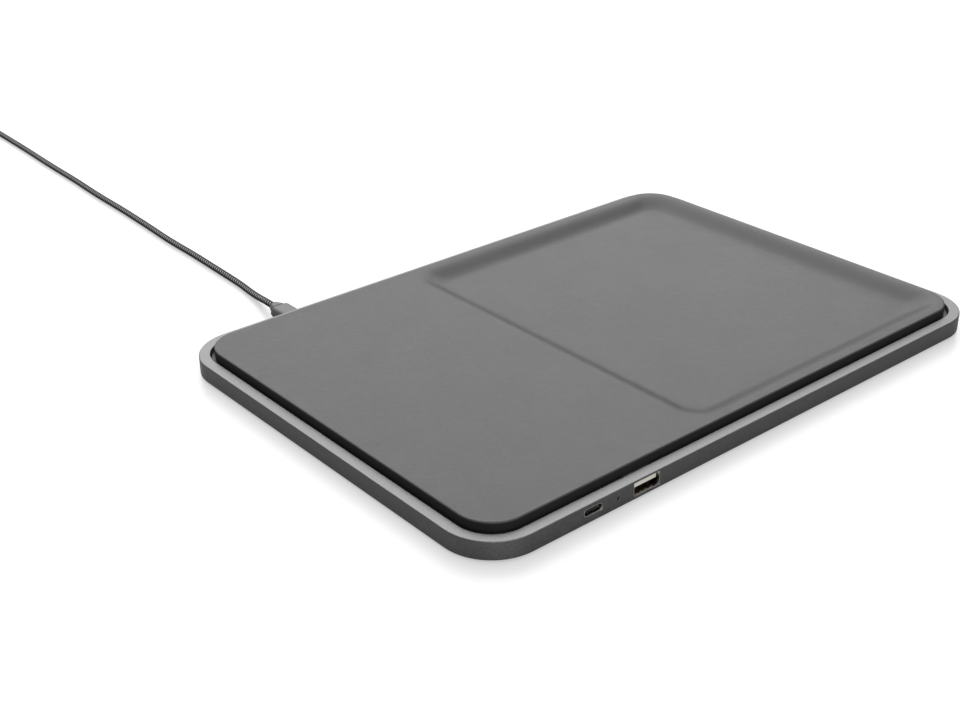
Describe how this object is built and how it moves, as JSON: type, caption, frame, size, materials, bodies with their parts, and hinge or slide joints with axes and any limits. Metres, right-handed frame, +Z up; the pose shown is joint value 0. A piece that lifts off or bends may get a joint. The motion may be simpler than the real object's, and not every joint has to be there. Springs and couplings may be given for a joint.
{
  "type": "wireless charging pad",
  "caption": "Low rectangular desk charging pad: leather deck with a flat charging area beside a shallow tray, metal frame, front USB outlets and a braided supply lead.",
  "frame": {"origin": "on the desk, under the middle of the pad", "axes": "+X right along the long front edge that holds the outlets, +Y to the back where the supply lead plugs in, +Z up"},
  "size_m": [0.28, 0.5841, 0.0115],
  "materials": {
    "anodised_frame": "fine bead-blasted grey anodising",
    "pad_leather": "charcoal smooth-grain leather, semi-matt",
    "black_plastic": "black moulded plastic, fine texture",
    "foot_rubber": "black rubber",
    "dark_screw": "blackened steel",
    "socket_steel": "nickel-plated steel",
    "pale_plastic": "pale moulded plastic",
    "contact_gold": "gold-plated contact",
    "clear_plastic": "frosted clear plastic",
    "board_green": "green solder mask",
    "chip_black": "moulded chip package",
    "ferrite_grey": "sintered ferrite",
    "capacitor_tan": "ceramic capacitor",
    "coil_copper": "enamelled copper wire",
    "white_tape": "white foam tape",
    "wire_red": "red insulation",
    "wire_black": "black insulation",
    "plug_grey": "grey moulded plastic, satin",
    "cable_braid": "black and grey woven jacket",
    "tie_strap": "black woven strap"
  },
  "bodies": {
    "pad": {"outer_frame": "anodised_frame", "bottom_cover": "black_plastic", "deck_carrier": "black_plastic", "leather_top": "pad_leather", "foot_rear_left": "foot_rubber", "foot_rear_right": "foot_rubber", "foot_front_left": "foot_rubber", "foot_front_right": "foot_rubber", "cover_screw_1": "dark_screw", "cover_screw_2": "dark_screw", "cover_screw_3": "dark_screw", "cover_screw_4": "dark_screw", "cover_screw_5": "dark_screw", "cover_screw_6": "dark_screw", "usb_a_shell": "socket_steel", "usb_a_tongue": "pale_plastic", "usb_a_contact_1": "contact_gold", "usb_a_contact_2": "contact_gold", "usb_a_contact_3": "contact_gold", "usb_a_contact_4": "contact_gold", "usb_c_out_shell": "socket_steel", "usb_c_out_tongue": "black_plastic", "usb_c_in_shell": "socket_steel", "usb_c_in_tongue": "black_plastic", "light_pipe": "clear_plastic", "status_led": "clear_plastic", "main_board": "board_green", "input_board": "board_green", "controller_chip": "chip_black", "driver_chip": "chip_black", "outlet_chip": "chip_black", "power_inductor": "ferrite_grey", "coil_capacitor_1": "capacitor_tan", "coil_capacitor_2": "capacitor_tan", "coil_capacitor_3": "capacitor_tan", "input_inductor": "ferrite_grey", "charging_coil": "coil_copper", "coil_tape": "white_tape", "coil_ferrite": "ferrite_grey", "coil_lead_1": "coil_copper", "coil_lead_2": "coil_copper", "supply_wire_plus": "wire_red", "supply_wire_minus": "wire_black"},
    "supply_lead": {"plug_tip": "socket_steel", "plug_housing": "plug_grey", "plug_relief": "plug_grey", "cable_lead": "cable_braid", "cable_coil": "cable_braid", "cable_tie": "tie_strap", "cable_tail": "cable_braid", "far_relief": "plug_grey", "far_housing": "plug_grey", "far_shell": "socket_steel", "far_insulator": "pale_plastic"}
  },
  "joints": [
    {"name": "plug_pull", "type": "slide", "parent": "pad", "child": "supply_lead", "axis": [0, 1, 0], "range_m": [0, 0.01]}
  ]
}
